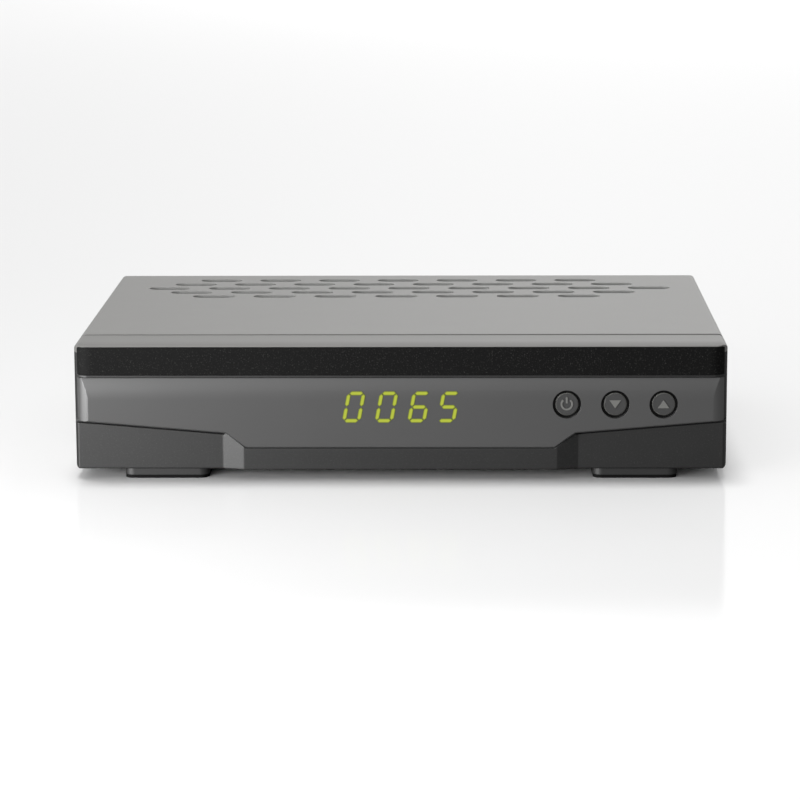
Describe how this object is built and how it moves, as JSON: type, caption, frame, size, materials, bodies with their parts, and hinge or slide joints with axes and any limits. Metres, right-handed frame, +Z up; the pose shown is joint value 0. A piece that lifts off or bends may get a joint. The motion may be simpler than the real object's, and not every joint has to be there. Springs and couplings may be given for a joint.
{
  "type": "satellite tv receiver",
  "caption": "Low box receiver with a slotted sheet metal cover, smoked display panel with lit figures, push buttons, rubber feet and rear aerial, video, audio, data and power sockets.",
  "frame": {"origin": "bottom centre of the whole box, on the surface that it stands on", "axes": "+X to the right as seen from the front, +Y from the front towards the rear sockets, +Z up"},
  "size_m": [0.2, 0.1492, 0.0423],
  "materials": {
    "cover_paint": "fine-textured mid grey powder paint",
    "galvanised_steel": "galvanised sheet",
    "bezel_plastic": "satin metallic grey",
    "band_plastic": "black, finely grained",
    "panel_plastic": "smoked, smooth",
    "button_plastic": "satin dark grey",
    "board_laminate": "green solder mask",
    "display_housing": "matt black",
    "display_light": "lit yellow-green",
    "eye_plastic": "dark violet, clear to infrared",
    "black_component_plastic": "moulded black",
    "white_component_plastic": "moulded off-white",
    "switch_plastic": "moulded black",
    "plunger_plastic": "moulded red-brown",
    "tinned_steel": "tin-plated sheet",
    "nickel_plate": "nickel plated",
    "standoff_brass": "turned",
    "screw_steel": "zinc plated",
    "heatsink_aluminium": "extruded, anodised",
    "thermal_rubber": "filled silicone",
    "ferrite": "ferrite, sealed",
    "capacitor_sleeve": "shrunk sleeve",
    "ribbon_insulation": "flat cable",
    "foot_plastic": "moulded dark grey",
    "foot_rubber": "matt black"
  },
  "bodies": {
    "case": {"aerial_input_socket": "nickel_plate", "aerial_output_socket": "nickel_plate", "aerial_socket_insulators": "white_component_plastic", "aerial_socket_nuts": "nickel_plate", "aerial_socket_washers": "nickel_plate", "aerial_supply_capacitor": "capacitor_sleeve", "bezel_screws": "screw_steel", "board_standoffs": "standoff_brass", "bottom_chassis": "galvanised_steel", "channel_down_switch_body": "switch_plastic", "channel_up_switch_body": "switch_plastic", "clock_crystal": "nickel_plate", "cover_screws": "screw_steel", "digital_audio_socket": "black_component_plastic", "display_driver_chip": "black_component_plastic", "display_module": "display_housing", "display_panel": "panel_plastic", "display_segments": "display_light", "foot_front_left": "foot_plastic", "foot_front_right": "foot_plastic", "foot_pad_front_left": "foot_rubber", "foot_pad_front_right": "foot_rubber", "foot_pad_rear_left": "foot_rubber", "foot_pad_rear_right": "foot_rubber", "foot_rear_left": "foot_plastic", "foot_rear_right": "foot_plastic", "front_bezel": "bezel_plastic", "front_board": "board_laminate", "front_board_screws": "screw_steel", "front_ribbon_connector": "white_component_plastic", "hdmi_shell": "nickel_plate", "hdmi_tongue": "black_component_plastic", "heatsink": "heatsink_aluminium", "input_capacitor": "capacitor_sleeve", "main_board": "board_laminate", "main_board_screws": "screw_steel", "main_ribbon_connector": "white_component_plastic", "memory_chip": "black_component_plastic", "power_inductor": "ferrite", "power_jack": "black_component_plastic", "power_jack_pin": "nickel_plate", "power_switch_body": "switch_plastic", "processor_chip": "black_component_plastic", "remote_control_eye": "eye_plastic", "ribbon_cable": "ribbon_insulation", "scart_screws": "screw_steel", "scart_socket": "black_component_plastic", "thermal_pad": "thermal_rubber", "top_cover": "cover_paint", "trim_band": "band_plastic", "tuner_can": "tinned_steel", "usb_shell": "nickel_plate", "usb_tongue": "white_component_plastic"},
    "power_button": {"power_button": "button_plastic", "power_switch_plunger": "plunger_plastic"},
    "channel_down_button": {"channel_down_button": "button_plastic", "channel_down_switch_plunger": "plunger_plastic"},
    "channel_up_button": {"channel_up_button": "button_plastic", "channel_up_switch_plunger": "plunger_plastic"}
  },
  "joints": [
    {"name": "power_press", "type": "slide", "parent": "case", "child": "power_button", "axis": [0, 1, 0], "range_m": [0, 0.00035], "stiffness_N_per_m": 900, "springref_m": -0.0006},
    {"name": "channel_down_press", "type": "slide", "parent": "case", "child": "channel_down_button", "axis": [0, 1, 0], "range_m": [0, 0.00035], "stiffness_N_per_m": 900, "springref_m": -0.0006},
    {"name": "channel_up_press", "type": "slide", "parent": "case", "child": "channel_up_button", "axis": [0, 1, 0], "range_m": [0, 0.00035], "stiffness_N_per_m": 900, "springref_m": -0.0006}
  ]
}
